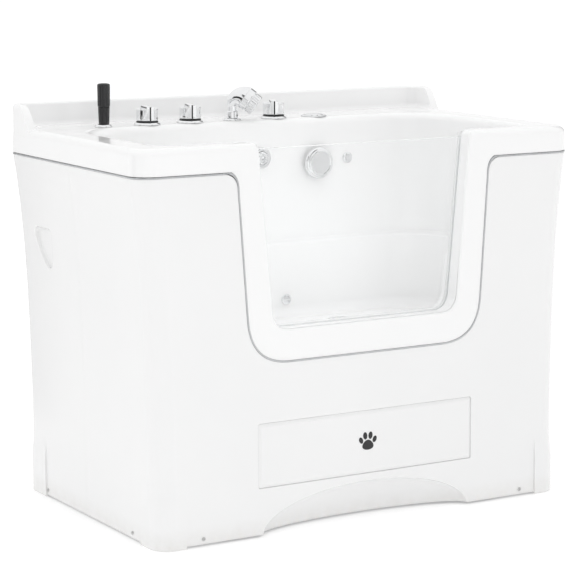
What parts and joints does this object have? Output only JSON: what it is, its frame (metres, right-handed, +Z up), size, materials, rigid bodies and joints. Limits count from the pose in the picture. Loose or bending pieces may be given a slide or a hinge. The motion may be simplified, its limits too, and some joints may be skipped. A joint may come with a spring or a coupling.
{
  "type": "pet bathtub",
  "caption": "Free-standing raised pet bathtub with a skirted acrylic basin, lift-out glass door, deck taps, hand shower, water jet and pop-up drain.",
  "frame": {"origin": "on the floor under the middle of the tub", "axes": "+X to the right along the front, the front faces -Y, +Z up"},
  "size_m": [1.2, 0.7, 1.017],
  "materials": {
    "acrylic": "high-gloss white cast acrylic",
    "skirt": "gloss white acrylic skirt",
    "trim": "bright thin trim strip",
    "chrome": "polished chrome plate",
    "button": "chrome-plated switch",
    "screw": "stainless pan-head screw",
    "seal": "translucent grey silicone channel",
    "glass": "clear tempered glass",
    "pipe": "white PVC pipe",
    "brass": "cast brass valve",
    "black": "satin black plastic",
    "frame_steel": "grey powder-coated steel",
    "foot_rubber": "black rubber foot",
    "pump": "dark grey pump casing"
  },
  "bodies": {
    "tub": {"tub_shell": "acrylic", "skirt_front": "skirt", "skirt_rear": "skirt", "hand_cup_left": "skirt", "hand_cup_right": "skirt", "name_panel": "skirt", "seam_trim": "trim", "skirt_screw_1": "screw", "skirt_screw_2": "screw", "skirt_screw_3": "screw", "skirt_screw_4": "screw", "skirt_screw_5": "screw", "skirt_screw_6": "screw", "door_gasket": "seal", "overflow_body": "chrome", "jet_body": "chrome", "bubble_nozzle": "chrome", "suction_strainer": "chrome", "drain_flange": "chrome", "overflow_pipe": "pipe", "drain_trap": "pipe", "hot_flange": "chrome", "hot_collar": "black", "hot_valve": "brass", "cold_flange": "chrome", "cold_collar": "black", "cold_valve": "brass", "diverter_flange": "chrome", "diverter_collar": "black", "diverter_valve": "brass", "supply_pipe": "brass", "spout_flange": "chrome", "wand_holder": "chrome", "air_button_ring": "button", "base_frame": "frame_steel", "foot_1": "foot_rubber", "foot_2": "foot_rubber", "foot_3": "foot_rubber", "foot_4": "foot_rubber", "pump_motor": "pump", "pump_housing": "pump", "suction_pipe": "pipe", "pressure_pipe": "pipe"},
    "door": {"door_glass": "glass"},
    "hot_tap": {"hot_knob": "chrome"},
    "cold_tap": {"cold_knob": "chrome"},
    "diverter_tap": {"diverter_knob": "chrome"},
    "spout": {"spout": "chrome", "spout_head": "chrome"},
    "wand": {"wand_handle": "black", "wand_head": "black"},
    "air_button": {"air_button": "button"},
    "overflow_knob": {"overflow_knob": "chrome"},
    "drain_plug": {"drain_plug": "chrome"},
    "jet_nozzle": {"jet_nozzle": "chrome"}
  },
  "joints": [
    {"name": "door_lift", "type": "slide", "parent": "tub", "child": "door", "axis": [0, 0, 1], "range_m": [0, 0.45]},
    {"name": "hot_turn", "type": "hinge", "parent": "tub", "child": "hot_tap", "pos_m": [-0.288, 0.217, 0.93], "axis": [0, 0, 1], "range_deg": [0, 90]},
    {"name": "cold_turn", "type": "hinge", "parent": "tub", "child": "cold_tap", "pos_m": [-0.168, 0.217, 0.93], "axis": [0, 0, 1], "range_deg": [-90, 0]},
    {"name": "diverter_turn", "type": "hinge", "parent": "tub", "child": "diverter_tap", "pos_m": [0.072, 0.217, 0.93], "axis": [0, 0, 1], "range_deg": [-45, 45]},
    {"name": "spout_swivel", "type": "hinge", "parent": "tub", "child": "spout", "pos_m": [-0.048, 0.217, 0.93], "axis": [0, 0, 1], "range_deg": [-115, 5]},
    {"name": "wand_pull", "type": "slide", "parent": "tub", "child": "wand", "axis": [0, 0, 1], "range_m": [0, 0.3]},
    {"name": "air_button_press", "type": "slide", "parent": "tub", "child": "air_button", "axis": [0, 0, -1], "range_m": [0, 0.003], "stiffness_N_per_m": 600, "springref_m": -0.01},
    {"name": "overflow_turn", "type": "hinge", "parent": "tub", "child": "overflow_knob", "pos_m": [0.17, 0.16, 0.798], "axis": [0, -1, 0], "range_deg": [0, 90]},
    {"name": "plug_lift", "type": "slide", "parent": "tub", "child": "drain_plug", "axis": [0, 0, 1], "range_m": [0, 0.012]},
    {"name": "jet_turn", "type": "hinge", "parent": "tub", "child": "jet_nozzle", "pos_m": [0.01, 0.17, 0.817], "axis": [0, -1, 0], "range_deg": [-45, 45]}
  ],
  "couplings": [
    {"joint": "plug_lift", "follows": "overflow_turn", "m_per_rad": 0.00763}
  ]
}
